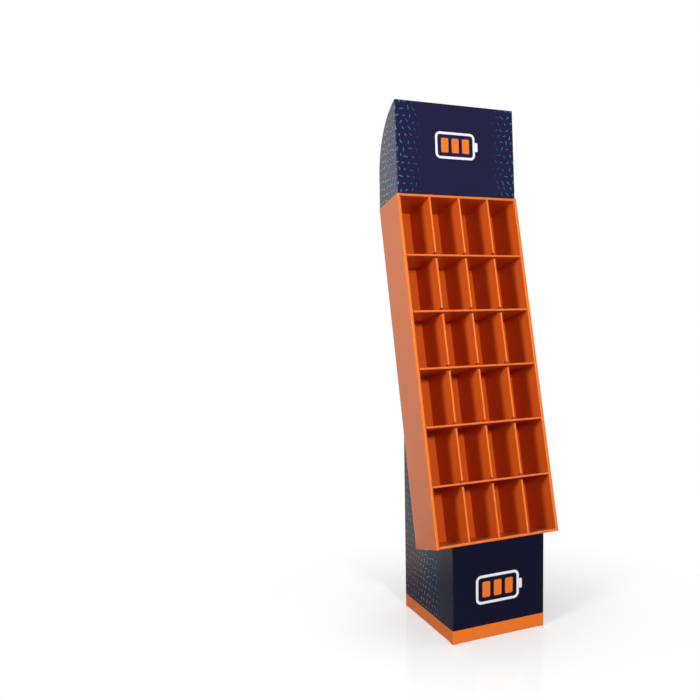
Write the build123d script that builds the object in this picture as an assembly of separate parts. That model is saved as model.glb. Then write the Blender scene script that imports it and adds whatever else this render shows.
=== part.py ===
from build123d import *
import os
from math import atan2, cos, degrees, radians, sin, sqrt, tan

# Cardboard floor display stand: a printed sleeve for a base, a double-walled tray that leans
# back on it with a cross-lapped grid of compartments, and a folded header on top.
# All sizes are in millimetres. X runs across the stand, the shopper stands towards -Y and
# Z is up. The origin is the centre of the base's footprint on the floor.

# Board and folds
board = 3.0  # thickness of the single-wall corrugated board
fold_inside = 0.5  # radius on the inside of a crease
fit = 0.3  # gap between sheets that slide, tuck or lap past each other
contact = 0.1  # gap between faces that rest on each other

# Base sleeve
base_width = 304.0
base_depth = 344.0
base_height = 885.0
glue_flap_width = 35.0
glue_flap_foot = 30.0  # height of the glue flap's lower end
glue_flap_drop = 185.0  # from the top of the base to its upper end
floor_flap_relief = 18.0  # the bottom flaps stop this far from the sleeve's corners
floor_flap_length = 150.0  # front and rear bottom flaps, which lie inside
floor_tuck = 25.0  # end of the outer bottom flap, tucked up inside the right wall

# Tuck slot high in the rear wall
slot_width = 168.0
slot_top_drop = 75.0  # from the top of the base to the slot's upper edge
slot_height = 17.0
lip_height = 8.0  # strip under the slot that is pushed outwards
lip_angle = 30.0  # degrees that it leans out

# Support panel: ledge, back rest, top and tongues
flange_depth = 25.0  # side flanges, glued inside the sleeve's side walls
flange_end = 12.0  # distance of the flanges' slanted ends from the folds
tongue_width = 44.0
tongue_gap = 9.0  # between the two tongues
tongue_turn = 50.0  # degrees from upright at which a tongue enters the slot
tongue_bend_rise = 13.5  # of that bend above the slot's lower edge
tongue_reach = 26.0  # length of tongue past the bend
tongue_bow = 7.0  # outward bow of the looser tongue
tongue_bow_radius = 60.0

# Ledge riser inside the base
riser_width = 190.0
riser_depth = 95.0
riser_inset = 44.0  # from the sleeve's front wall

# Tray
tray_width = 404.0
tray_depth = 155.0
tray_height = 1037.0
tray_lean = 14.2  # degrees that the tray leans back
seat_y = -26.7  # where the tray's lower rear edge sits, between the ledge and the back rest
seat_z = 248.3
side_cavity = 3.6  # between the two plies of a side wall
end_cavity = 2.0  # between the two plies of the top and bottom walls
rear_corner = 8.0  # radius of the tray's upright rear corners
ear_height = 60.0  # corner flaps of the bottom wall, tucked into the side walls

# Grid of compartments
leaf_gap = 0.4  # between the plies of a sheet that is folded double
leaf_recess = 0.5  # the folded front edges lie this far behind the tray's front
top_row_extra = 13.0  # the top row is this much taller than the others
shelf_count = 5
column_count = 4
shelf_end_gap = 0.8  # between a shelf's end and the tray's side wall
notch_height = 18.0  # open mouth of a divider's slot, above and below the shelf's edge
notch_depth = 16.0
notch_corner = 1.5
peg_hole = 6.0  # hole for a hook in the back of each compartment
peg_drop = 33.0  # of the hole's middle below the height of a plain row

# Header
header_lean = 3.6  # degrees that the front panel leans back
header_rise = 272.0  # height of the panel's top above its foot
header_setback = 2.0  # of the panel's foot behind the tray's front edge
wing_gap = 0.3  # between a wing and the outer ply of the tray's side wall
wing_radius = 230.0  # round rear edge of a wing
wing_setback = 1.2  # of the wing's rear edge from the tray's back
tab_depth = 80.0  # how far a wing's tab goes down into the side wall
tab_front = 15.0  # distance of the tab from the tray's front edge
tab_rear = 15.0  # and from its back
tab_corner = 12.0

# Worked out from the sizes above
fold_outside = fold_inside + board
lean = radians(tray_lean)
half_base_width = base_width / 2
half_base_depth = base_depth / 2
side_strip = 2 * board + side_cavity  # width of the roll-over edge of a side wall
end_strip = 2 * board + end_cavity  # the same for the top and bottom walls
leaf = 2 * board + leaf_gap  # thickness of a shelf or divider
inner_side = tray_width / 2 - side_strip  # inner face of the tray's side walls
inner_rear = -board  # inner face of the tray's back panel
inner_height = tray_height - 2 * end_strip
row_clear = (inner_height - top_row_extra - shelf_count * leaf) / (shelf_count + 1)
row_pitch = row_clear + leaf
column_pitch = (2 * inner_side + leaf) / column_count
grid_front = -tray_depth + leaf_recess
grid_rear = inner_rear - fit
lap_line = (grid_front + grid_rear) / 2  # where the slots of shelves and dividers meet
shelf_heights = [end_strip + row * row_pitch - leaf / 2 for row in range(1, shelf_count + 1)]
divider_places = [
    -inner_side - leaf / 2 + column * column_pitch for column in range(1, column_count)
]
slot_top = base_height - slot_top_drop
slot_bottom = slot_top - slot_height


def leaning(y, z):
    """Turn a side-view point of the tray's own frame into the stand's (y, z)."""
    return (seat_y + y * cos(lean) + z * sin(lean), seat_z - y * sin(lean) + z * cos(lean))


def on_ledge(y, below):
    """Side-view point at y on a line parallel to the tray's floor, a distance below it."""
    return (y, seat_z - (y - seat_y) * tan(lean) - below / cos(lean))


def on_back(z, behind):
    """Side-view point at z on a line parallel to the tray's back, a distance behind it."""
    return (seat_y + (z - seat_z) * tan(lean) + behind / cos(lean), z)


def folded(points, radii):
    """Section of a creased sheet whose printed face runs through the points.

    The board lies to the right of the way that the points are listed, and each radius is
    that of the printed face at a crease.
    """
    printed = [Vector(*point) for point in points]
    headings = [(end - start).normalized() for start, end in zip(printed, printed[1:])]
    rights = [Vector(heading.Y, -heading.X) for heading in headings]
    plain = [printed[0] + rights[0] * board]
    plain_radii = []
    for corner, before, after, radius in zip(printed[1:-1], rights, rights[1:], radii):
        plain.append(corner + (before + after) * (board / (1 + before.dot(after))))
        turns_right = before.cross(after).Z < 0
        plain_radii.append(radius - board if turns_right else radius + board)
    plain.append(printed[-1] + rights[-1] * board)
    corners = printed + plain[::-1]
    corner_radii = [0, *radii, 0, 0, *plain_radii[::-1], 0]
    return make_face(FilletPolyline(*corners, radius=corner_radii, close=True).edges())


def outline(points):
    """Plane figure with straight sides."""
    return make_face(Polyline(*points, close=True).edges())


def across(figure, width, centre=0.0):
    """Extrude a side view along X, over a width about a centre."""
    return Pos(centre, 0, 0) * extrude(Plane.YZ * figure, amount=width / 2, both=True)


def span(low, high):
    """Box between two corners."""
    size = [b - a for a, b in zip(low, high)]
    centre = [(a + b) / 2 for a, b in zip(low, high)]
    return Pos(*centre) * Box(*size)


tray_frame = Location((0, seat_y, seat_z), (-tray_lean, 0, 0))


# Base sleeve


def sleeve_walls():
    """Four walls with creased corners, cut away where the bottom flaps fold under them."""
    ring = RectangleRounded(base_width, base_depth, fold_outside)
    ring -= RectangleRounded(base_width - 2 * board, base_depth - 2 * board, fold_inside)
    walls = extrude(ring, amount=base_height)
    hinge_x = half_base_width - floor_flap_relief
    hinge_y = half_base_depth - floor_flap_relief
    hinge = fold_outside
    walls -= span((-hinge_x, -half_base_depth - board, -hinge), (hinge_x, -hinge_y, hinge))
    walls -= span((-hinge_x, hinge_y, -hinge), (hinge_x, half_base_depth + board, hinge))
    walls -= span((-half_base_width - board, -hinge_y, -hinge), (-hinge_x, hinge_y, hinge))
    return walls


def floor_flap():
    """Outer bottom flap, hinged on the left wall and tucked up inside the right one."""
    tuck = half_base_width - board - fit
    section = folded(
        [
            (tuck, floor_tuck),
            (tuck, 0),
            (-half_base_width, 0),
            (-half_base_width, 2 * fold_outside),
        ],
        [fold_outside, fold_outside],
    )
    length = base_depth - 2 * floor_flap_relief
    return extrude(Plane.XZ * section, amount=length / 2, both=True)


def end_floor_flap(end):
    """Inner bottom flap, hinged on the front or rear wall, which steps up over the outer one."""
    step_foot = fold_outside + 1.5
    step_head = floor_flap_relief - 2.0
    rise = board + fit
    section = folded(
        [
            (-half_base_depth + floor_flap_length, rise),
            (-half_base_depth + step_head, rise),
            (-half_base_depth + step_foot, 0),
            (-half_base_depth, 0),
            (-half_base_depth, 2 * fold_outside),
        ],
        [fold_inside, fold_outside, fold_outside],
    )
    flap = across(section, base_width - 2 * floor_flap_relief)
    return flap if end < 0 else mirror(flap, about=Plane.XZ)


def tuck_slot_cut():
    """Slot in the rear wall, with the room that its lower lip leaves when it is pushed out."""
    low = (-slot_width / 2, half_base_depth - 2 * board, slot_bottom - lip_height)
    high = (slot_width / 2, half_base_depth + board, slot_top)
    return span(low, high)


def tuck_slot_lip():
    """Lower lip of the slot, creased and pushed outwards by the tongues."""
    tilt = radians(lip_angle)
    foot = slot_bottom - lip_height
    out_y = half_base_depth + lip_height * sin(tilt)
    out_z = foot + lip_height * cos(tilt)
    section = outline(
        [
            (half_base_depth - board, foot - fit),
            (half_base_depth, foot - fit),
            (half_base_depth, foot),
            (out_y, out_z),
            (out_y - board * cos(tilt), out_z + board * sin(tilt)),
            (half_base_depth - board, foot + board * tan(tilt)),
        ]
    )
    return across(section, slot_width)


def make_base_shell():
    """Sleeve with its side walls cut to the ledge and the back rest."""
    corner = leaning(contact, -contact)
    side_view = outline(
        [
            (-half_base_depth - board, -board),
            on_ledge(-half_base_depth - board, contact),
            corner,
            on_back(base_height + board, contact),
            (half_base_depth + board, base_height + board),
            (half_base_depth + board, -board),
        ]
    )
    shell = sleeve_walls() & across(side_view, base_width + 2 * board)
    shell += floor_flap()
    for end in (-1, 1):
        shell += end_floor_flap(end)
    glue_head = base_height - glue_flap_drop
    glue_low = (
        half_base_width - 2 * board,
        half_base_depth - board - glue_flap_width,
        glue_flap_foot,
    )
    glue_high = (half_base_width - board / 2, half_base_depth - board / 2, glue_head)
    shell += span(glue_low, glue_high)
    shell -= tuck_slot_cut()
    shell += tuck_slot_lip()
    notch_half = tongue_width + tongue_gap / 2 + fit
    shell -= span(
        (-notch_half, half_base_depth - 2 * board, base_height - board - fit),
        (notch_half, half_base_depth + board, base_height + board),
    )
    return shell


# Support panel


def tongue_section(bow):
    """Tongue that folds over the rear wall, runs down outside it and turns into the slot."""
    turn = radians(tongue_turn)
    outer = half_base_depth + fit + board
    bend = slot_bottom + tongue_bend_rise
    middle = (base_height + bend) / 2
    tip = (outer - tongue_reach * sin(turn), bend - tongue_reach * cos(turn))
    start = (half_base_depth - 4 * board, base_height)
    if bow:
        points = [start, (outer, base_height), (outer + bow, middle), (outer, bend), tip]
        return folded(points, [fold_outside, tongue_bow_radius, fold_outside])
    return folded([start, (outer, base_height), (outer, bend), tip], [fold_outside, fold_outside])


def support_flange(points):
    """Glued flange along both sides of the panel, from its side view in the tray's frame."""
    figure = outline([leaning(*point) for point in points])
    place = half_base_width - board - fit - board / 2
    return across(figure, board, -place) + across(figure, board, place)


def make_support_panel():
    """Ledge, back rest, top and tongues, folded from one sheet."""
    front = on_ledge(-half_base_depth + board + fit + board * sin(lean), contact)
    section = folded(
        [
            front,
            leaning(contact, -contact),
            on_back(base_height, contact),
            (half_base_depth - board - fit, base_height),
        ],
        [fold_inside, fold_outside],
    )
    panel = across(section, base_width - 2 * (board + fit))
    ledge_length = (half_base_depth - board + seat_y) / cos(lean)
    back_length = (base_height - seat_z) / cos(lean)
    root = contact + board / 2
    edge = contact + flange_depth
    panel += support_flange(
        [
            (-ledge_length + flange_end, -root),
            (-flange_end / 2, -root),
            (-flange_end, -edge),
            (-ledge_length + 2 * flange_end, -edge),
        ]
    )
    panel += support_flange(
        [
            (root, flange_end / 2),
            (root, back_length - 2 * flange_end),
            (edge, back_length - 3 * flange_end),
            (edge, flange_end),
        ]
    )
    tongue_place = (tongue_width + tongue_gap) / 2
    panel += across(tongue_section(tongue_bow), tongue_width, -tongue_place)
    panel += across(tongue_section(0), tongue_width, tongue_place)
    return panel


def make_ledge_riser():
    """Sheet folded to a U that stands on the front bottom flap and carries the ledge."""
    front = -half_base_depth + riser_inset
    rear = front + riser_depth
    half = riser_width / 2
    section = folded(
        [(half, rear), (half, front), (-half, front), (-half, rear)],
        [fold_outside, fold_outside],
    )
    foot = 2 * board + fit + contact
    under = 2 * contact + board
    side_view = outline(
        [
            (front - board, foot),
            (rear + board, foot),
            on_ledge(rear + board, under),
            on_ledge(front - board, under),
        ]
    )
    return extrude(section, amount=seat_z * 2) & across(side_view, riser_width + board)


# Tray


def tray_side(side):
    """Side wall: outer ply, roll-over strip and inner ply, with its part of the back panel."""
    half = tray_width / 2
    overlap = inner_side - 4 * fit
    section = folded(
        [
            (-inner_side, grid_rear),
            (-inner_side, -tray_depth),
            (-half, -tray_depth),
            (-half, 0),
            (-overlap, 0),
        ],
        [fold_outside, fold_outside, rear_corner],
    )
    wall = extrude(section, amount=tray_height)
    # The inner ply starts above the bottom wall's ear, which passes under it
    wall -= span(
        (-inner_side - board - fit, -tray_depth + board, -board),
        (-inner_side + fit, grid_rear + fit / 2, board + fit),
    )
    return wall if side < 0 else mirror(wall, about=Plane.YZ)


def tray_ends():
    """Top wall, back panel and bottom wall, which run between the side walls."""
    half_width = inner_side - fit
    fold = min(fold_outside, end_strip / 2 - fit)
    section = folded(
        [
            (grid_rear, tray_height - end_strip),
            (-tray_depth, tray_height - end_strip),
            (-tray_depth, tray_height),
            (0, tray_height),
            (0, 0),
            (-tray_depth, 0),
            (-tray_depth, end_strip),
            (grid_rear, end_strip),
        ],
        [fold] * 6,
    )
    return across(section, 2 * half_width)


def tray_ear(side):
    """Corner flap of the bottom wall, tucked between the plies of a side wall."""
    outer = tray_width / 2 - board - fit
    section = folded(
        [(-inner_side + 4 * fit, 0), (-outer, 0), (-outer, ear_height)],
        [fold_outside],
    )
    front = -tray_depth + board + fit
    rear = -rear_corner - fit
    ear = extrude(Plane.XZ * section, amount=(rear - front) / 2, both=True)
    ear = Pos(0, (front + rear) / 2, 0) * ear
    return ear if side < 0 else mirror(ear, about=Plane.YZ)


def peg_holes():
    """A small hole in the back of every compartment."""
    drill = Rot(90, 0, 0) * Cylinder(peg_hole / 2, 4 * board)
    floors = [end_strip + row * row_pitch for row in range(shelf_count + 1)]
    columns = [-inner_side - leaf / 2 + (n + 0.5) * column_pitch for n in range(column_count)]
    rise = row_clear - peg_drop
    return [Pos(x, 0, floor + rise) * drill for x in columns for floor in floors]


def make_tray():
    """Leaning tray with four roll-over double walls."""
    tray = tray_ends()
    for side in (-1, 1):
        tray += tray_side(side)
        tray += tray_ear(side)
    tray -= peg_holes()
    return tray_frame * tray


# Grid of compartments


def leaf_section():
    """Section of a sheet folded double, with its round fold towards the shopper."""
    half = leaf / 2
    straight = grid_rear - grid_front - half
    middle = grid_rear - straight / 2
    plies = Pos(0, middle) * Rectangle(leaf, straight)
    fold = Pos(0, grid_front + half) * Circle(half)
    return plies + fold - Pos(0, middle) * Rectangle(leaf_gap, straight)


def make_divider(x):
    """Upright divider, slotted from the front to take the shelves."""
    foot = end_strip
    head = tray_height - end_strip - fit
    divider = Pos(x, 0, foot) * extrude(leaf_section(), amount=head - foot)
    slot_length = lap_line + fit - grid_front
    slot = Pos(grid_front + slot_length / 2, 0) * Rectangle(slot_length, leaf + 2 * fit)
    mouth = Pos(grid_front, 0) * RectangleRounded(2 * notch_depth, notch_height, notch_corner)
    cut = across(slot + mouth, 2 * leaf, x)
    divider -= [Pos(0, 0, height) * cut for height in shelf_heights]
    return tray_frame * divider


def make_shelf(height):
    """Shelf with a whole front edge, slotted from the rear to take the dividers."""
    half_length = inner_side - shelf_end_gap
    shelf = Rot(0, 90, 0) * extrude(leaf_section(), amount=half_length, both=True)
    half_slot = leaf / 2 + fit
    shelf -= [
        span((x - half_slot, lap_line, -leaf), (x + half_slot, grid_rear + fit, leaf))
        for x in divider_places
    ]
    return tray_frame * Pos(0, 0, height) * shelf


# Header


def header_side_view():
    """Side view of the header: a leaning front and wings with a round rear edge."""
    tilt = radians(header_lean)
    foot = leaning(-tray_depth + header_setback, tray_height + contact)
    head = (foot[0] + header_rise * tan(tilt), foot[1] + header_rise)
    head_rear = (head[0] + board * cos(tilt), head[1] - board * sin(tilt))
    rear_foot = leaning(-wing_setback, tray_height + contact)
    centre_y = rear_foot[0] - wing_radius
    centre_z = head_rear[1] - sqrt(wing_radius**2 - (head_rear[0] - centre_y) ** 2)
    sweep = degrees(atan2(head_rear[1] - centre_z, head_rear[0] - centre_y))
    rim = CenterArc((centre_y, centre_z), wing_radius, 0, sweep)
    sides = Polyline(head_rear, head, foot, rear_foot, (rear_foot[0], centre_z))
    return make_face(rim.edges() + sides.edges())


def header_tab():
    """Tab under a wing, which slides down between the plies of the tray's side wall."""
    half = tray_width / 2 - board - wing_gap
    width = tray_depth - tab_front - tab_rear
    root = 2 * tab_corner
    figure = Pos(0, (root - tab_depth) / 2) * RectangleRounded(width, tab_depth + root, tab_corner)
    tab = extrude(Plane.YZ * figure, amount=board / 2, both=True)
    middle = -tray_depth + tab_front + width / 2
    return tray_frame * Pos(half - board / 2, middle, tray_height) * tab


def make_header():
    """Sheet folded to a U that stands on the tray, its tabs inside the tray's side walls."""
    half = tray_width / 2 - board - wing_gap
    depth = tray_depth + header_rise
    section = folded(
        [(half, depth), (half, 0), (-half, 0), (-half, depth)],
        [fold_outside, fold_outside],
    )
    foot = leaning(-tray_depth + header_setback, tray_height + contact)
    sheet = Pos(0, 0, -header_rise) * extrude(section, amount=3 * header_rise)
    sheet = Location((0, foot[0], foot[1]), (-header_lean, 0, 0)) * sheet
    header = sheet & across(header_side_view(), tray_width)
    tab = header_tab()
    return header + tab + mirror(tab, about=Plane.YZ)


parts = {
    "base_shell": make_base_shell(),
    "support_panel": make_support_panel(),
    "ledge_riser": make_ledge_riser(),
    "tray": make_tray(),
    "header": make_header(),
}
for name, place in zip(("divider_left", "divider_centre", "divider_right"), divider_places):
    parts[name] = make_divider(place)
for number, height in enumerate(shelf_heights, 1):
    parts[f"shelf_{number}"] = make_shelf(height)

os.makedirs("parts", exist_ok=True)
for name, shape in parts.items():
    export_step(shape, f"parts/{name}.step")
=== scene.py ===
from math import cos, pi, radians, sin

import bpy
from mathutils import Euler, Matrix, Vector

bl_info = {
    "name": "Cardboard Display Stand",
    "version": (1, 0, 0),
    "blender": (4, 5, 0),
    "location": "3D View > Sidebar > Display Stand",
    "description": "Prints, laminates and lights a folded corrugated display stand",
    "category": "Object",
}

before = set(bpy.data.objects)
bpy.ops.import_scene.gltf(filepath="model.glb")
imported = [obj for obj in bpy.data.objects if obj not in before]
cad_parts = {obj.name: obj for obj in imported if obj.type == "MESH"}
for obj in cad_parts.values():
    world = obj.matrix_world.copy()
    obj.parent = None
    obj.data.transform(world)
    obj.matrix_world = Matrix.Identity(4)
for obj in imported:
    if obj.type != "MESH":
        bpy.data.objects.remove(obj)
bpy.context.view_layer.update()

MM = 0.001

# Sizes that the finishes are drawn to, in millimetres
BOARD = 3.0  # thickness of the board
FOLD = 3.5  # outside radius of a crease
FIT = 0.3  # gap between sheets that lap past each other
HAIR = 0.05  # keeps a limit clear of the face that it is about
ENDLESS = 5000.0  # past every edge of a sheet
BASE_HALF_WIDTH = 152.0
BASE_HALF_DEPTH = 172.0
TRAY_HALF_WIDTH = 202.0
TRAY_DEPTH = 155.0
TRAY_HEIGHT = 1037.0
TRAY_INSIDE_TOP = 1030.0  # between the tray's ceiling and its top
COLUMN_PITCH = 97.8
ROW_PITCH = 169.07
FIRST_SHELF = 173.87  # middle of the lowest shelf, above the tray's foot
LEAF_GAP = 0.4  # between the two plies of a shelf or a divider
LEAF_FLAT = -151.2  # depth from which a leaf's plies run flat behind its front fold
HEADER_HALF_WIDTH = 198.7
HEADER_SETBACK = 2.0  # of the header's front behind the tray's
HEADER_GAP = 0.1  # under the header

# Where the tray stands, in metres, and how far the tray and the header lean back
TRAY_FOOT = (0.0, -0.0267, 0.2483)
TRAY_LEAN = radians(14.2)
HEADER_LEAN = radians(3.6)

# The camera that shows the stand as the photograph does, in metres, radians and frame widths
CAMERA_PLACE = (-1.16156, -2.24389, 1.01796)
CAMERA_DIP = 0.10061  # below level
CAMERA_TURN = -0.47602  # from straight ahead
CAMERA_ROLL = -0.0048
CAMERA_SHIFT = (-0.1714, 0.03)


def on_tray(y, z):
    """Where a side-view point of the tray, in millimetres of its own frame, is in the stand."""
    along, up = y * MM, z * MM
    return (
        0.0,
        TRAY_FOOT[1] + along * cos(TRAY_LEAN) + up * sin(TRAY_LEAN),
        TRAY_FOOT[2] - along * sin(TRAY_LEAN) + up * cos(TRAY_LEAN),
    )


def linear(code):
    """Linear red, green and blue of an sRGB hex value."""
    levels = [int(code[i : i + 2], 16) / 255 for i in (1, 3, 5)]
    return tuple(c / 12.92 if c <= 0.04045 else ((c + 0.055) / 1.055) ** 2.4 for c in levels)


def add(tree, kind, links=None, **settings):
    """Adds a node, sets its properties, then fills its sockets with values or other nodes."""
    node = tree.nodes.new(kind if kind.startswith("Node") else "ShaderNode" + kind)
    for key, value in settings.items():
        setattr(node, key, value)
    for key, value in (links or {}).items():
        if isinstance(key, int):
            socket = node.inputs[key]
        else:
            socket = next(s for s in node.inputs if s.enabled and s.name == key)
        if isinstance(value, bpy.types.Node):
            value = next(s for s in value.outputs if s.enabled)
        if isinstance(value, bpy.types.NodeSocket):
            tree.links.new(value, socket)
        elif socket.type == "RGBA":
            socket.default_value = (*value, 1.0)
        else:
            socket.default_value = value
    return node


def new_group(name, inputs, outputs):
    """An empty node group with named sockets, and its input node."""
    group = bpy.data.node_groups.new(name, "ShaderNodeTree")
    for side, sockets in (("INPUT", inputs), ("OUTPUT", outputs)):
        for label, kind in sockets.items():
            group.interface.new_socket(label, in_out=side, socket_type="NodeSocket" + kind)
    return group, group.nodes.new("NodeGroupInput")


class BoardSettings(bpy.types.PropertyGroup):
    """Corrugated board and the paper on it."""

    flute_pitch: bpy.props.FloatProperty(
        name="Flute pitch",
        description="Distance between the flutes inside the board",
        default=0.0064,
        min=0.002,
        unit="LENGTH",
    )
    kraft: bpy.props.FloatVectorProperty(
        name="Kraft liner",
        description="Unprinted paper on the inside of the board",
        subtype="COLOR",
        default=linear("#976E47"),
        min=0,
        max=1,
    )
    hollow: bpy.props.FloatVectorProperty(
        name="Flute shade",
        description="Shade between the flutes at a cut edge",
        subtype="COLOR",
        default=linear("#33241A"),
        min=0,
        max=1,
    )
    fibre: bpy.props.FloatVectorProperty(
        name="Bared fibre",
        description="Paper fibres where ink is rubbed thin on a crease",
        subtype="COLOR",
        default=linear("#D8C4AE"),
        min=0,
        max=1,
    )
    # Painted sheen: a pale tint on the upper faces inside the tray, standing in for their
    # reflection of the bright room
    painted_sheen: bpy.props.FloatVectorProperty(
        name="Painted sheen",
        description="Painted sheen on the upper faces inside the tray",
        subtype="COLOR",
        default=linear("#C8B4BE"),
        min=0,
        max=1,
    )


class PrintSettings(bpy.types.PropertyGroup):
    """Inks, and where they are printed."""

    tray_orange: bpy.props.FloatVectorProperty(
        name="Tray orange",
        description="Solid orange inside the tray, and of the dividers and the shelves",
        subtype="COLOR",
        default=linear("#D95E20"),
        min=0,
        max=1,
    )
    # Painted light: a lit copy of the tray orange, made yellower on the outside where direct light
    # falls, while bounced light leaves the inside redder
    outer_orange: bpy.props.FloatVectorProperty(
        name="Outer orange",
        description="Slightly yellower orange of the tray's outside",
        subtype="COLOR",
        default=linear("#D76818"),
        min=0,
        max=1,
    )
    # On the front folds of the tray and the leaves this orange is a painted highlight
    band_orange: bpy.props.FloatVectorProperty(
        name="Band orange",
        description="Brighter orange of the kick band, the symbols and the front folds",
        subtype="COLOR",
        default=linear("#F37B28"),
        min=0,
        max=1,
    )
    header_navy: bpy.props.FloatVectorProperty(
        name="Header navy",
        description="Solid navy of the header",
        subtype="COLOR",
        default=linear("#14123A"),
        min=0,
        max=1,
    )
    base_navy: bpy.props.FloatVectorProperty(
        name="Base navy",
        description="Solid navy of the base",
        subtype="COLOR",
        default=linear("#080B27"),
        min=0,
        max=1,
    )
    white: bpy.props.FloatVectorProperty(
        name="White",
        description="Paper white left open in the print",
        subtype="COLOR",
        default=linear("#F2F1F5"),
        min=0,
        max=1,
    )
    blue: bpy.props.FloatVectorProperty(
        name="Blue",
        description="Dashes near the front",
        subtype="COLOR",
        default=linear("#4F9FDC"),
        min=0,
        max=1,
    )
    silver: bpy.props.FloatVectorProperty(
        name="Silver",
        description="Dashes half way back",
        subtype="COLOR",
        default=linear("#BFC4CC"),
        min=0,
        max=1,
    )
    coral: bpy.props.FloatVectorProperty(
        name="Coral",
        description="Dashes near the back",
        subtype="COLOR",
        default=linear("#C9705A"),
        min=0,
        max=1,
    )
    kick_band: bpy.props.FloatProperty(
        name="Kick band",
        description="Height of the orange band round the foot of the base",
        default=0.040,
        min=0,
        unit="LENGTH",
    )
    dash_pitch: bpy.props.FloatProperty(
        name="Dash pitch",
        description="Distance between neighbouring dashes of the scattered print",
        default=0.020,
        min=0.005,
        unit="LENGTH",
    )
    header_symbol: bpy.props.FloatProperty(
        name="Header symbol",
        description="Width of the battery symbol on the header",
        default=0.140,
        min=0.01,
        unit="LENGTH",
    )
    base_symbol: bpy.props.FloatProperty(
        name="Base symbol",
        description="Width of the battery symbol on the base",
        default=0.150,
        min=0.01,
        unit="LENGTH",
    )


class StageSettings(bpy.types.PropertyGroup):
    """Floor, lights and camera."""

    floor_radius: bpy.props.FloatProperty(
        name="Floor radius",
        description="Radius of the round floor",
        default=8.0,
        min=2,
        unit="LENGTH",
    )
    sky: bpy.props.FloatProperty(
        name="Even light",
        description="Strength of the light from all round",
        default=0.15,
        min=0,
    )
    front_light: bpy.props.FloatProperty(
        name="Front light",
        description="Power of the lamp in front, in watts",
        default=165.0,
        min=0,
    )
    side_light: bpy.props.FloatProperty(
        name="Side light",
        description="Power of the lamp at the left, in watts",
        default=17.0,
        min=0,
    )
    rear_light: bpy.props.FloatProperty(
        name="Rear light",
        description="Power of the lamp behind, in watts",
        default=62.0,
        min=0,
    )
    lens: bpy.props.FloatProperty(
        name="Lens",
        description="Focal length of the camera, in millimetres",
        default=43.218,
        min=1,
    )


# Patterns that several finishes share


def rounded_bar():
    """Distance in millimetres from the rim of a bar with round corners, below zero inside it."""
    group, given = new_group(
        "Rounded bar",
        {"Spot": "Vector", "Half size": "Vector", "Corner": "Float"},
        {"Distance": "Float"},
    )
    given = given.outputs
    far = add(group, "VectorMath", {0: given["Spot"]}, operation="ABSOLUTE")
    far = add(group, "VectorMath", {0: far, 1: given["Half size"]}, operation="SUBTRACT")
    far = add(group, "VectorMath", {0: far, 1: given["Corner"]}, operation="ADD")
    far = add(group, "VectorMath", {0: far, 1: (1, 1, 0)}, operation="MULTIPLY")
    outside = add(group, "VectorMath", {0: far, 1: (0, 0, 0)}, operation="MAXIMUM")
    outside = add(group, "VectorMath", {0: outside}, operation="LENGTH")
    axes = add(group, "SeparateXYZ", {0: far}).outputs
    inside = add(group, "Math", {0: axes["X"], 1: axes["Y"]}, operation="MAXIMUM")
    inside = add(group, "Math", {0: inside, 1: 0.0}, operation="MINIMUM")
    total = add(group, "Math", {0: outside, 1: inside}, operation="ADD")
    total = add(group, "Math", {0: total, 1: given["Corner"]}, operation="SUBTRACT")
    add(group, "NodeGroupOutput", {"Distance": total})
    return group


def scattered_dashes(bar):
    """Short round-ended dashes, one in each cell of a staggered grid, turned and moved by chance.

    They are 7 to 14 mm long and 3.1 mm wide.
    """
    group, given = new_group(
        "Scattered dashes",
        {"Spot": "Vector", "Pitch": "Float"},
        {"Ink": "Float", "Chance": "Float"},
    )
    given = given.outputs
    cells = add(group, "VectorMath", {0: given["Spot"], 1: given["Pitch"]}, operation="DIVIDE")
    axes = add(group, "SeparateXYZ", {0: cells}).outputs
    # Each row of cells starts about a third of a cell after the one below
    row = add(group, "Math", {0: axes["Y"]}, operation="FLOOR")
    stagger = add(group, "Math", {0: row, 1: 0.37}, operation="MULTIPLY")
    stagger = add(group, "CombineXYZ", {"X": stagger})
    cells = add(group, "VectorMath", {0: cells, 1: stagger}, operation="ADD")
    cell = add(group, "VectorMath", {0: cells}, operation="FLOOR")
    chance = add(group, "TexWhiteNoise", {"Vector": cell}, noise_dimensions="3D").outputs
    # The dash's middle is between 0.35 and 0.65 of the cell
    shift = add(
        group,
        "VectorMath",
        {0: chance["Color"], 1: (0.3, 0.3, 0), 2: (0.35, 0.35, 0)},
        operation="MULTIPLY_ADD",
    )
    spot = add(group, "VectorMath", {0: cells}, operation="FRACTION")
    spot = add(group, "VectorMath", {0: spot, 1: shift}, operation="SUBTRACT")
    spot = add(group, "VectorMath", {0: spot, 1: given["Pitch"]}, operation="MULTIPLY")
    turn = add(group, "Math", {0: chance["Value"], 1: 2 * pi}, operation="MULTIPLY")
    spot = add(group, "VectorRotate", {"Vector": spot, "Angle": turn}, rotation_type="Z_AXIS")
    blue = add(group, "SeparateColor", {0: chance["Color"]}).outputs["Blue"]
    half_width = 1.55
    half_length = add(group, "MapRange", {"Value": blue, "To Min": 3.5, "To Max": 7.1})
    half = add(group, "CombineXYZ", {"X": half_length, "Y": half_width})
    rim = add(
        group, "Group", {"Spot": spot, "Half size": half, "Corner": half_width}, node_tree=bar
    )
    ink = add(group, "MapRange", {"Value": rim, "From Min": 0.3, "From Max": -0.3})
    add(group, "NodeGroupOutput", {"Ink": ink, "Chance": blue})
    return group


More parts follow.
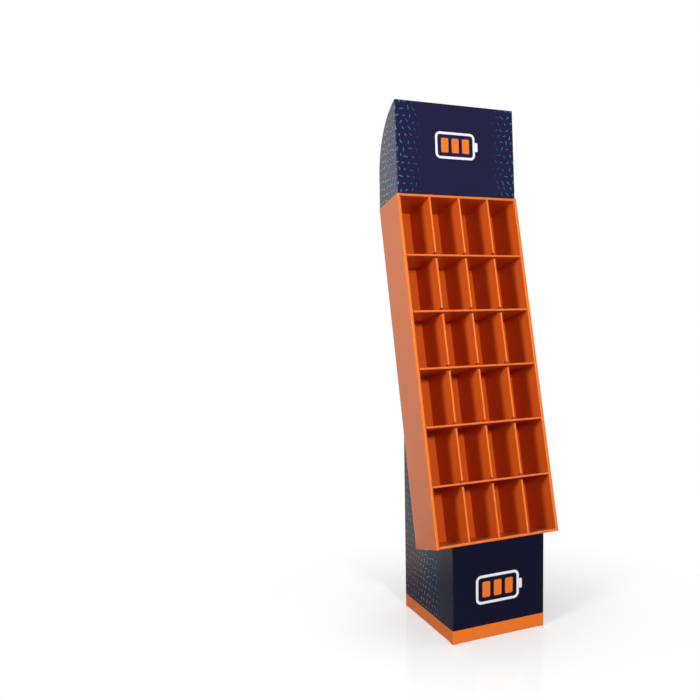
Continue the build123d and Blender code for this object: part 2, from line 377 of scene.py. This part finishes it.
def battery_symbol(bar):
    """A plain battery lying on its side, with three bars in it.

    It is drawn 100 units wide and about its middle, then scaled to its width.
    """
    group, given = new_group(
        "Battery symbol",
        {"Spot": "Vector", "Width": "Float"},
        {"Outline": "Float", "Bars": "Float"},
    )
    given = given.outputs
    size = add(group, "Math", {0: 100.0, 1: given["Width"]}, operation="DIVIDE")
    spot = add(group, "VectorMath", {0: given["Spot"], "Scale": size}, operation="SCALE")
    # Case, drawn as a line along its rim, and the tip at its right end
    middle = add(group, "VectorMath", {0: spot, 1: (4, 0, 0)}, operation="ADD")
    case = {"Spot": middle, "Half size": (45, 26, 0), "Corner": 9.0}
    case = add(group, "Group", case, node_tree=bar)
    case = add(group, "Math", {0: case}, operation="ABSOLUTE")
    case = add(group, "Math", {0: case, 1: 2.6}, operation="SUBTRACT")
    tip = add(group, "VectorMath", {0: spot, 1: (-47, 0, 0)}, operation="ADD")
    tip = {"Spot": tip, "Half size": (3.4, 10, 0), "Corner": 2.6}
    tip = add(group, "Group", tip, node_tree=bar)
    white = add(group, "Math", {0: case, 1: tip}, operation="MINIMUM")
    # One bar, repeated on either side of the case's middle
    pitch = 25.0
    axes = add(group, "SeparateXYZ", {0: middle}).outputs
    place = add(group, "Math", {0: axes["X"], 1: pitch}, operation="DIVIDE")
    place = add(group, "Math", {0: place}, operation="ROUND")
    place = add(group, "Clamp", {"Value": place, "Min": -1.0, "Max": 1.0})
    place = add(group, "Math", {0: place, 1: -pitch, 2: axes["X"]}, operation="MULTIPLY_ADD")
    spot = add(group, "CombineXYZ", {"X": place, "Y": axes["Y"]})
    bars = {"Spot": spot, "Half size": (8.5, 15.5, 0), "Corner": 3.0}
    bars = add(group, "Group", bars, node_tree=bar)
    white = add(group, "MapRange", {"Value": white, "From Min": 0.3, "From Max": -0.3})
    bars = add(group, "MapRange", {"Value": bars, "From Min": 0.3, "From Max": -0.3})
    add(group, "NodeGroupOutput", {"Outline": white, "Bars": bars})
    return group


def fluted_edge():
    """Two liners with the wave of the fluting between them, as a cut edge of board shows it."""
    group, given = new_group(
        "Fluted edge", {"Across": "Float", "Along": "Float", "Pitch": "Float"}, {"Paper": "Float"}
    )
    given = given.outputs
    crest = 1.05  # height of the wave above the middle of the board
    wave = add(group, "Math", {0: given["Along"], 1: given["Pitch"]}, operation="DIVIDE")
    wave = add(group, "Math", {0: wave, 1: 2 * pi}, operation="MULTIPLY")
    wave = add(group, "Math", {0: wave}, operation="SINE")
    middle = add(group, "Math", {0: given["Across"], 1: BOARD / 2}, operation="SUBTRACT")
    off = add(group, "Math", {0: wave, 1: -crest, 2: middle}, operation="MULTIPLY_ADD")
    off = add(group, "Math", {0: off}, operation="ABSOLUTE")
    medium = add(group, "MapRange", {"Value": off, "From Min": 0.42, "From Max": 0.26})
    liner = add(group, "Math", {0: middle}, operation="ABSOLUTE")
    liner = add(group, "MapRange", {"Value": liner, "From Min": crest, "From Max": 1.2})
    paper = add(group, "Math", {0: medium, 1: liner}, operation="MAXIMUM")
    add(group, "NodeGroupOutput", {"Paper": paper})
    return group


# Finishes


class Finish:
    """One material of the board, with the coordinates that its print and its edges are drawn in.

    The coordinates are millimetres in the frame of a panel that leans back from its foot.
    """

    def __init__(self, name, foot=(0.0, 0.0, 0.0), lean=0.0):
        self.material = bpy.data.materials.new(name)
        self.material.use_nodes = True
        self.tree = self.material.node_tree
        self.tree.nodes.clear()
        self.board = bpy.context.scene.stand_board
        self.inks = bpy.context.scene.stand_print
        coordinates = self.add("TexCoord").outputs
        self.place = self.add(
            "Mapping",
            {
                "Vector": coordinates["Object"],
                "Location": foot,
                "Rotation": (-lean, 0, 0),
                "Scale": (MM, MM, MM),
            },
            vector_type="TEXTURE",
        )
        self.facing = self.add(
            "Mapping",
            {"Vector": coordinates["Normal"], "Rotation": (lean, 0, 0)},
            vector_type="VECTOR",
        )
        self.at = self.add("SeparateXYZ", {0: self.place}).outputs
        self.to = self.add("SeparateXYZ", {0: self.facing}).outputs
        sideways = self.add("Math", {0: self.to["X"]}, operation="ABSOLUTE")
        self.sideways = self.add("Math", {0: sideways, 1: 0.7}, operation="GREATER_THAN")
        # Runs across the upright flutes of the panel that the spot is on
        self.level = self.add(
            "Mix", {"Factor": self.sideways, "A": self.at["X"], "B": self.at["Y"]}
        )

    def add(self, kind, links=None, **settings):
        """Adds a node to the finish."""
        return add(self.tree, kind, links, **settings)

    def sleeve_sides(self, low, high):
        """Printed and cut faces of a sheet folded round a box, and the way through its edge."""
        core = self.add("VectorMath", {0: self.place, 1: low}, operation="MAXIMUM")
        core = self.add("VectorMath", {0: core, 1: high}, operation="MINIMUM")
        out = self.add("VectorMath", {0: self.place, 1: core}, operation="SUBTRACT")
        unit = self.add("VectorMath", {0: out}, operation="NORMALIZE")
        side = self.add("VectorMath", {0: unit, 1: self.facing}, operation="DOT_PRODUCT")
        printed = self.add("Math", {0: side, 1: 0.7}, operation="GREATER_THAN")
        raw = self.add("Math", {0: side, 1: -0.7}, operation="LESS_THAN")
        cut = self.add("Math", {0: printed, 1: raw}, operation="ADD")
        cut = self.add("Math", {0: 1.0, 1: cut}, operation="SUBTRACT", use_clamp=True)
        depth = self.add("VectorMath", {0: out}, operation="LENGTH")
        across = self.add("Math", {0: depth, 1: FOLD - BOARD}, operation="SUBTRACT")
        steps = self.add("VectorMath", {0: out}, operation="ABSOLUTE")
        steps = self.add("SeparateXYZ", {0: steps}).outputs
        wing = self.add("Math", {0: steps["X"], 1: steps["Y"]}, operation="GREATER_THAN")
        along = self.add("Mix", {"Factor": wing, "A": self.at["X"], "B": self.at["Y"]})
        return printed, cut, across, along

    def tray_ink(self, ink):
        """Ink with a painted highlight of brighter orange round the front folds, and a painted
        sheen that pales upper faces.
        """
        # Painted highlight: the front folds blend to the brighter band orange, as if they caught
        # more light
        rim = self.add(
            "MapRange",
            {
                "Value": self.at["Y"],
                "From Min": BOARD - TRAY_DEPTH,
                "From Max": BOARD / 2 - TRAY_DEPTH,
            },
        )
        ink = self.add(
            "Mix", {"Factor": rim, "A": ink, "B": self.inks.band_orange}, data_type="RGBA"
        )
        # Painted sheen: upper faces inside the tray, and the tops of the front folds, are paled
        # towards the tint
        painted_sheen = self.add(
            "MapRange", {"Value": self.to["Z"], "From Min": 0.5, "From Max": 0.95, "To Max": 0.15}
        )
        inside = self.add("Math", {0: self.at["Z"], 1: TRAY_INSIDE_TOP}, operation="LESS_THAN")
        painted_sheen = self.add("Math", {0: painted_sheen, 1: inside}, operation="MULTIPLY")
        return self.add("Mix", {"Factor": painted_sheen, "A": ink, "B": self.board.painted_sheen}, data_type="RGBA")

    def navy(self, ground, near, far, bands, fade, shares, symbol):
        """Navy ground with scattered dashes on the sides, coloured by depth, and a battery symbol.

        Near and far are the depths of the front and the back edge. Bands are the shares of
        that depth at which the dashes turn from blue to silver to coral. Fade gives, in
        millimetres, where they start and stand in full on the sides and on the front, and
        shares how strong they are there. The symbol has its height and width.
        """
        inks = self.inks
        side_start, side_full, front_start, front_full = fade
        spot = self.add("CombineXYZ", {"X": self.level, "Y": self.at["Z"]})
        dashes = self.add(
            "Group",
            {"Spot": spot, "Pitch": inks.dash_pitch / MM},
            node_tree=bpy.data.node_groups["Scattered dashes"],
        ).outputs
        # The turn from one colour to the next is blurred over 0.14 of the depth
        depth = self.add("MapRange", {"Value": self.at["Y"], "From Min": near, "From Max": far})
        depth = self.add(
            "Math", {0: dashes["Chance"], 1: 0.14, 2: depth}, operation="MULTIPLY_ADD"
        )
        ramp = self.add("ValToRGB", {0: depth})
        stops = ramp.color_ramp.elements
        stops.new(0.5)
        for stop, place, colour in zip(stops, bands, (inks.blue, inks.silver, inks.coral)):
            stop.position = place
            stop.color = (*colour, 1.0)
        on_side = self.add(
            "MapRange",
            {
                "Value": self.at["Y"],
                "From Min": side_start,
                "From Max": side_full,
                "To Max": shares[0],
            },
        )
        out = self.add("Math", {0: self.at["X"]}, operation="ABSOLUTE")
        on_front = self.add(
            "MapRange",
            {"Value": out, "From Min": front_start, "From Max": front_full, "To Max": shares[1]},
        )
        ahead = self.add("Math", {0: self.to["Y"], 1: -0.7}, operation="LESS_THAN")
        on_front = self.add("Math", {0: on_front, 1: ahead}, operation="MULTIPLY")
        shown = self.add("Mix", {"Factor": self.sideways, "A": on_front, "B": on_side})
        shown = self.add("Math", {0: shown, 1: dashes["Ink"]}, operation="MULTIPLY")
        colour = self.add(
            "Mix", {"Factor": shown, "A": ground, "B": ramp.outputs["Color"]}, data_type="RGBA"
        )
        height, width = symbol
        spot = self.add("CombineXYZ", {"X": self.at["X"], "Y": self.at["Z"]})
        spot = self.add("VectorMath", {0: spot, 1: (0, height, 0)}, operation="SUBTRACT")
        battery = self.add(
            "Group",
            {"Spot": spot, "Width": width / MM},
            node_tree=bpy.data.node_groups["Battery symbol"],
        ).outputs
        for part, paint in (("Outline", inks.white), ("Bars", inks.band_orange)):
            shown = self.add("Math", {0: battery[part], 1: ahead}, operation="MULTIPLY")
            colour = self.add(
                "Mix", {"Factor": shown, "A": colour, "B": paint}, data_type="RGBA"
            )
        return colour

    def finish(self, ink, printed, cut, across, along, gloss):
        """Joins ink, kraft liner and fluted edges into the surface of the board."""
        pitch = self.board.flute_pitch / MM
        # Solid ink on paper: faint clouds a few millimetres wide
        clouds = self.add("TexNoise", {"Vector": self.place, "Scale": 0.22, "Detail": 3.0})
        tone = self.add("MapRange", {"Value": clouds, "To Min": 0.95, "To Max": 1.05})
        ink = self.add("VectorMath", {0: ink, "Scale": tone}, operation="SCALE")
        # Ink rubbed thin on the outside of the creases, where paper fibres show
        axes = self.add("VectorMath", {0: self.facing}, operation="ABSOLUTE")
        axes = self.add("SeparateXYZ", {0: axes}).outputs
        square = self.add("Math", {0: axes["X"], 1: axes["Y"]}, operation="MAXIMUM")
        square = self.add("Math", {0: square, 1: axes["Z"]}, operation="MAXIMUM")
        crease = self.add("MapRange", {"Value": square, "From Min": 0.98, "From Max": 0.8})
        worn = self.add("TexNoise", {"Vector": self.place, "Scale": 0.9, "Detail": 4.0})
        worn = self.add(
            "MapRange", {"Value": worn, "From Min": 0.5, "From Max": 0.75, "To Max": 0.3}
        )
        worn = self.add("Math", {0: worn, 1: crease}, operation="MULTIPLY")
        ink = self.add("Mix", {"Factor": worn, "A": ink, "B": self.board.fibre}, data_type="RGBA")
        # Kraft liner: long upright fibres, and the flutes showing through as faint stripes
        fibres = self.add("VectorMath", {0: self.place, 1: (1.0, 1.0, 0.18)}, operation="MULTIPLY")
        fibres = self.add(
            "TexNoise", {"Vector": fibres, "Scale": 0.9, "Detail": 5.0, "Roughness": 0.65}
        )
        flutes = self.add("Math", {0: self.level, 1: 2 * pi / pitch}, operation="MULTIPLY")
        flutes = self.add("Math", {0: flutes}, operation="SINE")
        tone = self.add(
            "MapRange",
            {
                "Value": fibres,
                "From Min": 0.25,
                "From Max": 0.75,
                "To Min": 0.84,
                "To Max": 1.14,
            },
        )
        tone = self.add("Math", {0: flutes, 1: 0.025, 2: tone}, operation="MULTIPLY_ADD")
        kraft = self.add("VectorMath", {0: self.board.kraft, "Scale": tone}, operation="SCALE")
        paper = self.add(
            "Group",
            {"Across": across, "Along": along, "Pitch": pitch},
            node_tree=bpy.data.node_groups["Fluted edge"],
        )
        edge = self.add(
            "Mix", {"Factor": paper, "A": self.board.hollow, "B": kraft}, data_type="RGBA"
        )
        colour = self.add("Mix", {"Factor": printed, "A": kraft, "B": ink}, data_type="RGBA")
        colour = self.add("Mix", {"Factor": cut, "A": colour, "B": edge}, data_type="RGBA")
        # Film on the print is satin, and bare kraft is dull
        satin = self.add("MapRange", {"Value": clouds, "To Min": 0.20, "To Max": 0.30})
        dull = self.add("MapRange", {"Value": fibres, "To Min": 0.95, "To Max": 0.85})
        rough = self.add("Mix", {"Factor": printed, "A": dull, "B": satin})
        # Height in millimetres: board warped a little over some 90 mm between its folds, the
        # flutes under the liner, and the tooth of the paper
        warp = self.add("TexNoise", {"Vector": self.place, "Scale": 0.011, "Detail": 1.0})
        height = self.add("Math", {0: warp, 1: 1.1}, operation="MULTIPLY")
        height = self.add("Math", {0: flutes, 1: 0.008, 2: height}, operation="MULTIPLY_ADD")
        height = self.add("Math", {0: fibres, 1: 0.02, 2: height}, operation="MULTIPLY_ADD")
        bump = self.add("Bump", {"Height": height, "Distance": MM, "Strength": 1.0})
        surface = self.add(
            "BsdfPrincipled",
            {
                "Base Color": colour,
                "Roughness": rough,
                "Normal": bump,
                "Specular IOR Level": gloss,
            },
        )
        self.add("OutputMaterial", {"Surface": surface})
        return self.material


def sleeve_print():
    # Litho-laminated board under a matt film: deep navy with a crisp orange band at the foot
    skin = Finish("Litho-laminated board, base sleeve")
    inks = skin.inks
    half_width = BASE_HALF_WIDTH - FOLD
    half_depth = BASE_HALF_DEPTH - FOLD
    printed, cut, across, along = skin.sleeve_sides(
        (-half_width, -half_depth, FOLD), (half_width, half_depth, ENDLESS)
    )
    colour = skin.navy(
        inks.base_navy,
        near=-BASE_HALF_DEPTH,
        far=BASE_HALF_DEPTH,
        bands=(0.50, 0.62, 0.78),
        fade=(-95.0, -62.0, 500.0, 600.0),
        shares=(0.55, 0.0),  # none on its front
        symbol=(146.0, inks.base_symbol),
    )
    band = inks.kick_band / MM
    kick = skin.add(
        "MapRange", {"Value": skin.at["Z"], "From Min": band + 0.15, "From Max": band - 0.15}
    )
    colour = skin.add(
        "Mix", {"Factor": kick, "A": colour, "B": inks.band_orange}, data_type="RGBA"
    )
    return skin.finish(colour, printed, cut, across, along, gloss=0.2)


def header_print():
    # The same board under a glossier film, which catches the light along its wings
    foot = on_tray(HEADER_SETBACK - TRAY_DEPTH, TRAY_HEIGHT + HEADER_GAP)
    skin = Finish("Litho-laminated board, header", foot, HEADER_LEAN)
    inks = skin.inks
    half_width = HEADER_HALF_WIDTH - FOLD
    printed, cut, across, along = skin.sleeve_sides(
        (-half_width, FOLD, -ENDLESS), (half_width, ENDLESS, ENDLESS)
    )
    colour = skin.navy(
        inks.header_navy,
        near=0.0,
        far=170.0,
        bands=(0.35, 0.62, 0.95),
        fade=(-40.0, -20.0, 118.0, 196.0),
        shares=(0.75, 0.5),
        symbol=(150.0, inks.header_symbol),
    )
    return skin.finish(colour, printed, cut, across, along, gloss=0.5)


def support_print():
    # Navy outside of the panel that folds over the rear edge, under a matt film
    skin = Finish("Litho-laminated board, support panel")
    up = skin.add("Math", {0: skin.to["Z"], 1: 0.15}, operation="GREATER_THAN")
    behind = skin.add("Math", {0: skin.to["Y"], 1: 0.5}, operation="GREATER_THAN")
    # The tongues are behind this depth
    rear = skin.add("Math", {0: skin.at["Y"], 1: 150.0}, operation="GREATER_THAN")
    behind = skin.add("Math", {0: behind, 1: rear}, operation="MULTIPLY")
    ahead = skin.add("Math", {0: skin.to["Y"], 1: -0.5}, operation="LESS_THAN")
    rear = skin.add("Math", {0: 1.0, 1: rear}, operation="SUBTRACT")
    ahead = skin.add("Math", {0: ahead, 1: rear}, operation="MULTIPLY")
    printed = skin.add("Math", {0: up, 1: behind}, operation="MAXIMUM")
    printed = skin.add("Math", {0: printed, 1: ahead}, operation="MAXIMUM")
    across = skin.add("Math", {0: skin.at["Y"], 1: BASE_HALF_DEPTH + FIT}, operation="SUBTRACT")
    # Ink runs over the cut edges, so that little of the brown board shows there
    printed = skin.add("Math", {0: printed, 1: skin.sideways}, operation="MAXIMUM")
    cut = skin.add("Math", {0: skin.sideways, 1: 0.3}, operation="MULTIPLY")
    return skin.finish(skin.inks.base_navy, printed, cut, across, skin.at["Z"], gloss=0.2)


def tray_print():
    # Solid orange under satin film on both sides of the sheet, with raw board in the holes
    skin = Finish("Film-laminated orange board, tray", TRAY_FOOT, TRAY_LEAN)
    behind = skin.add("Math", {0: skin.at["Y"], 1: -BOARD - HAIR}, operation="GREATER_THAN")
    turned = skin.add("Math", {0: skin.to["Y"]}, operation="ABSOLUTE")
    turned = skin.add("Math", {0: turned, 1: 0.3}, operation="LESS_THAN")
    cut = skin.add("Math", {0: behind, 1: turned}, operation="MULTIPLY")
    across = skin.add("Math", {0: skin.at["Y"], 1: BOARD}, operation="ADD")
    # The outermost 2 mm of the sides and 1 mm of the back get the outer orange, a yellower copy of
    # the tray orange painted there for the light that leaves the inside redder
    wide = skin.add("Math", {0: skin.at["X"]}, operation="ABSOLUTE")
    wide = skin.add("Math", {0: wide, 1: TRAY_HALF_WIDTH - 2.0}, operation="GREATER_THAN")
    deep = skin.add("Math", {0: skin.at["Y"], 1: -1.0}, operation="GREATER_THAN")
    outer = skin.add("Math", {0: wide, 1: deep}, operation="MAXIMUM")
    inks = skin.inks
    ink = skin.add(
        "Mix", {"Factor": outer, "A": inks.tray_orange, "B": inks.outer_orange}, data_type="RGBA"
    )
    ink = skin.tray_ink(ink)
    printed = skin.add("Math", {0: 1.0, 1: cut}, operation="SUBTRACT")
    return skin.finish(ink, printed, cut, across, skin.at["X"], gloss=0.36)


def leaf_print(name, through, middle, pitch):
    """Finish of leaves that stand a pitch apart along one axis, with one leaf at the middle."""
    # Orange board folded double: smooth round front folds, raw board in the slots
    skin = Finish(name, TRAY_FOOT, TRAY_LEAN)
    flat = skin.add("Math", {0: skin.to[through]}, operation="ABSOLUTE")
    edge = skin.add("Math", {0: flat, 1: 0.7}, operation="LESS_THAN")
    behind = skin.add("Math", {0: skin.at["Y"], 1: LEAF_FLAT}, operation="GREATER_THAN")
    cut = skin.add("Math", {0: edge, 1: behind}, operation="MULTIPLY")
    # Distance from the middle of the nearest leaf, then through its ply
    off = skin.add("Math", {0: skin.at[through], 1: pitch / 2 - middle}, operation="ADD")
    off = skin.add("Math", {0: off, 1: pitch}, operation="FLOORED_MODULO")
    off = skin.add("Math", {0: off, 1: pitch / 2}, operation="SUBTRACT")
    off = skin.add("Math", {0: off}, operation="ABSOLUTE")
    across = skin.add("Math", {0: off, 1: LEAF_GAP / 2}, operation="SUBTRACT")
    ink = skin.tray_ink(skin.inks.tray_orange)
    printed = skin.add("Math", {0: 1.0, 1: cut}, operation="SUBTRACT")
    return skin.finish(ink, printed, cut, across, skin.at["Y"], gloss=0.36)


def bare_board():
    # Unprinted corrugated board: dull brown kraft on both sides
    skin = Finish("Unprinted kraft board, riser")
    cut = skin.add("Math", {0: skin.to["Z"]}, operation="ABSOLUTE")
    cut = skin.add("Math", {0: cut, 1: 0.7}, operation="GREATER_THAN")
    return skin.finish(skin.board.kraft, 0.0, cut, 0.0, skin.level, gloss=0.2)


def cover(names, material):
    """Puts a finish on the frame's own pieces."""
    for name in names:
        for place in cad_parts[name].material_slots:
            place.material = material


class STAND_OT_patterns(bpy.types.Operator):
    """Draw the print motifs and the fluted edge as node groups"""

    bl_idname = "stand.patterns"
    bl_label = "Draw Patterns"

    def execute(self, context):
        bar = rounded_bar()
        scattered_dashes(bar)
        battery_symbol(bar)
        fluted_edge()
        return {"FINISHED"}


class STAND_OT_base(bpy.types.Operator):
    """Print the base sleeve"""

    bl_idname = "stand.base"
    bl_label = "Print Base"

    def execute(self, context):
        cover(["base_shell"], sleeve_print())
        return {"FINISHED"}


class STAND_OT_supports(bpy.types.Operator):
    """Print the support panel and leave the riser bare"""

    bl_idname = "stand.supports"
    bl_label = "Finish Supports"

    def execute(self, context):
        cover(["support_panel"], support_print())
        cover(["ledge_riser"], bare_board())
        return {"FINISHED"}


class STAND_OT_tray(bpy.types.Operator):
    """Print the tray"""

    bl_idname = "stand.tray"
    bl_label = "Print Tray"

    def execute(self, context):
        cover(["tray"], tray_print())
        return {"FINISHED"}


class STAND_OT_grid(bpy.types.Operator):
    """Print the dividers and the shelves"""

    bl_idname = "stand.grid"
    bl_label = "Print Dividers and Shelves"

    def execute(self, context):
        dividers = [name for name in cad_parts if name.startswith("divider")]
        shelves = [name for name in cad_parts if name.startswith("shelf")]
        finish = leaf_print("Film-laminated orange board, dividers", "X", 0.0, COLUMN_PITCH)
        cover(dividers, finish)
        finish = leaf_print("Film-laminated orange board, shelves", "Z", FIRST_SHELF, ROW_PITCH)
        cover(shelves, finish)
        return {"FINISHED"}


class STAND_OT_header(bpy.types.Operator):
    """Print the header"""

    bl_idname = "stand.header"
    bl_label = "Print Header"

    def execute(self, context):
        cover(["header"], header_print())
        return {"FINISHED"}


# Stage


def lamp(name, power, size, spot, aim, spread=180):
    """A large soft lamp, turned to a point of the stand."""
    data = bpy.data.lights.new(name, "AREA")
    data.shape = "DISK"
    data.size = size
    data.energy = power
    data.spread = radians(spread)
    made = bpy.data.objects.new(name, data)
    made.location = spot
    made.rotation_euler = (Vector(aim) - Vector(spot)).to_track_quat("-Z", "Y").to_euler()
    made.visible_glossy = False
    made.visible_camera = False
    bpy.context.scene.collection.objects.link(made)
    return made


def seen_directly(tree):
    """One for what the camera sees, also in a reflection or through glass."""
    ray = add(tree, "LightPath").outputs
    seen = {0: ray["Is Camera Ray"], 1: ray["Is Glossy Ray"]}
    seen = add(tree, "Math", seen, operation="MAXIMUM")
    return add(tree, "Math", {0: seen, 1: ray["Is Transmission Ray"]}, operation="MAXIMUM")


def room_glow(tree, way):
    """What reflections show: a white backdrop behind the stand and a dimmer room before it."""
    ray = add(tree, "LightPath").outputs["Is Glossy Ray"]
    behind = add(tree, "SeparateXYZ", {0: way}).outputs["Y"]
    room = add(
        tree, "MapRange", {"Value": behind, "From Min": 0.6, "From Max": 0.88, "To Min": 0.3}
    )
    return add(tree, "Mix", {"Factor": ray, "A": 1.0, "B": room})


def floor_finish():
    # Polished white floor: a faint reflection at the foot of the stand, pure white further off
    material = bpy.data.materials.new("Polished white floor")
    material.use_nodes = True
    tree = material.node_tree
    tree.nodes.clear()
    seen = seen_directly(tree)
    spot = add(tree, "TexCoord").outputs["Object"]
    away = add(tree, "VectorMath", {0: spot}, operation="LENGTH")
    away = add(
        tree,
        "MapRange",
        {"Value": away, "From Min": 0.3, "From Max": 0.9},
        interpolation_type="SMOOTHSTEP",
    )
    matt = add(tree, "BsdfDiffuse", {"Color": (0.5, 0.5, 0.5)})
    gloss = add(tree, "BsdfGlossy", {"Color": (1, 1, 1), "Roughness": 0.12})
    polished = add(tree, "MixShader", {0: 0.06, 1: matt, 2: gloss})
    # A glow that only the camera sees makes the floor white, as even light from all round would,
    # and occlusion dims it close to the stand as a painted contact shadow
    open_sky = add(tree, "AmbientOcclusion", {"Distance": 0.45}, samples=16).outputs["AO"]
    glow_with_painted_shadow = add(
        tree, "MapRange", {"Value": open_sky, "From Min": 0.5, "To Min": 0.44, "To Max": 0.67}
    )
    camera_ray = add(tree, "LightPath").outputs["Is Camera Ray"]
    lift = add(tree, "Math", {0: camera_ray, 1: glow_with_painted_shadow}, operation="MULTIPLY")
    glow = add(tree, "Emission", {"Color": (1, 1, 1), "Strength": lift})
    near = add(tree, "AddShader", {0: polished, 1: glow})
    way = add(tree, "VectorMath", {0: spot}, operation="NORMALIZE")
    far = add(tree, "Emission", {"Color": (1, 1, 1), "Strength": room_glow(tree, way)})
    share = add(tree, "Math", {0: away, 1: seen}, operation="MULTIPLY")
    surface = add(tree, "MixShader", {0: share, 1: near, 2: far})
    add(tree, "OutputMaterial", {"Surface": surface})
    return material


def lay_floor(stage):
    """A round floor, a hair under the stand."""
    bpy.ops.mesh.primitive_circle_add(
        vertices=96, radius=stage.floor_radius, fill_type="NGON", location=(0, 0, -0.0005)
    )
    floor = bpy.context.object
    floor.name = "floor"
    floor.data.materials.append(floor_finish())
    return floor


def hang_lamps(stage, floor):
    """Three soft lamps: one in front, one at the left and one behind the stand."""
    lamp("front_lamp", stage.front_light, 0.6, (-0.3, -5.0, 2.55), (0, 0, 0.8))
    lamp("side_lamp", stage.side_light, 0.8, (-2.45, -1.17, 1.8), (0, 0, 1.05), spread=100)
    rear = lamp("rear_lamp", stage.rear_light, 1.6, (1.75, 2.6, 1.7), (0, 0, 1.15), spread=120)
    # The rear lamp fills in the stand's back and casts no shadow forward on the floor
    spared = bpy.data.collections.new("Spared by the rear lamp")
    spared.objects.link(floor)
    spared.collection_objects[0].light_linking.link_state = "EXCLUDE"
    rear.light_linking.receiver_collection = spared


def surround(stage):
    """Even light from all round, and the white that the camera sees behind the stand."""
    world = bpy.data.worlds.new("White studio")
    bpy.context.scene.world = world
    world.use_nodes = True
    tree = world.node_tree
    tree.nodes.clear()
    room = room_glow(tree, add(tree, "TexCoord").outputs["Generated"])
    strength = add(tree, "Mix", {"Factor": seen_directly(tree), "A": stage.sky, "B": room})
    glow = add(tree, "Background", {"Color": (1, 1, 1), "Strength": strength})
    add(tree, "OutputWorld", {"Surface": glow})


def place_camera(stage):
    """The camera, with a shift that puts the stand right of the frame's middle."""
    data = bpy.data.cameras.new("camera")
    data.lens = stage.lens
    data.sensor_width = 36.0
    data.shift_x, data.shift_y = CAMERA_SHIFT
    camera = bpy.data.objects.new("camera", data)
    camera.location = CAMERA_PLACE
    aim = Euler((pi / 2 - CAMERA_DIP, 0, CAMERA_TURN)).to_matrix()
    camera.rotation_euler = (aim @ Matrix.Rotation(CAMERA_ROLL, 3, "Z")).to_euler()
    bpy.context.scene.collection.objects.link(camera)
    bpy.context.scene.camera = camera


class STAND_OT_stage(bpy.types.Operator):
    """Set up the floor, the lights and the camera"""

    bl_idname = "stand.stage"
    bl_label = "Set Up Stage"

    def execute(self, context):
        stage = context.scene.stand_stage
        hang_lamps(stage, lay_floor(stage))
        surround(stage)
        place_camera(stage)
        context.scene.view_settings.view_transform = "Standard"
        return {"FINISHED"}


class STAND_PT_panel(bpy.types.Panel):
    """Lists the stand's steps and settings"""

    bl_label = "Display Stand"
    bl_idname = "STAND_PT_panel"
    bl_space_type = "VIEW_3D"
    bl_region_type = "UI"
    bl_category = "Display Stand"

    def draw(self, context):
        scene = context.scene
        for settings in (scene.stand_board, scene.stand_print, scene.stand_stage):
            box = self.layout.box()
            for name in settings.__annotations__:
                box.prop(settings, name)
        for step in STEPS:
            self.layout.operator(step.bl_idname)


STEPS = (
    STAND_OT_patterns,
    STAND_OT_base,
    STAND_OT_supports,
    STAND_OT_tray,
    STAND_OT_grid,
    STAND_OT_header,
    STAND_OT_stage,
)
CLASSES = (BoardSettings, PrintSettings, StageSettings, *STEPS, STAND_PT_panel)


def register():
    for cls in CLASSES:
        bpy.utils.register_class(cls)
    bpy.types.Scene.stand_board = bpy.props.PointerProperty(type=BoardSettings)
    bpy.types.Scene.stand_print = bpy.props.PointerProperty(type=PrintSettings)
    bpy.types.Scene.stand_stage = bpy.props.PointerProperty(type=StageSettings)


def unregister():
    del bpy.types.Scene.stand_board, bpy.types.Scene.stand_print, bpy.types.Scene.stand_stage
    for cls in reversed(CLASSES):
        bpy.utils.unregister_class(cls)


def main():
    register()
    bpy.ops.stand.patterns()
    bpy.ops.stand.base()
    bpy.ops.stand.supports()
    bpy.ops.stand.tray()
    bpy.ops.stand.grid()
    bpy.ops.stand.header()
    bpy.ops.stand.stage()


if __name__ == "__main__":
    main()
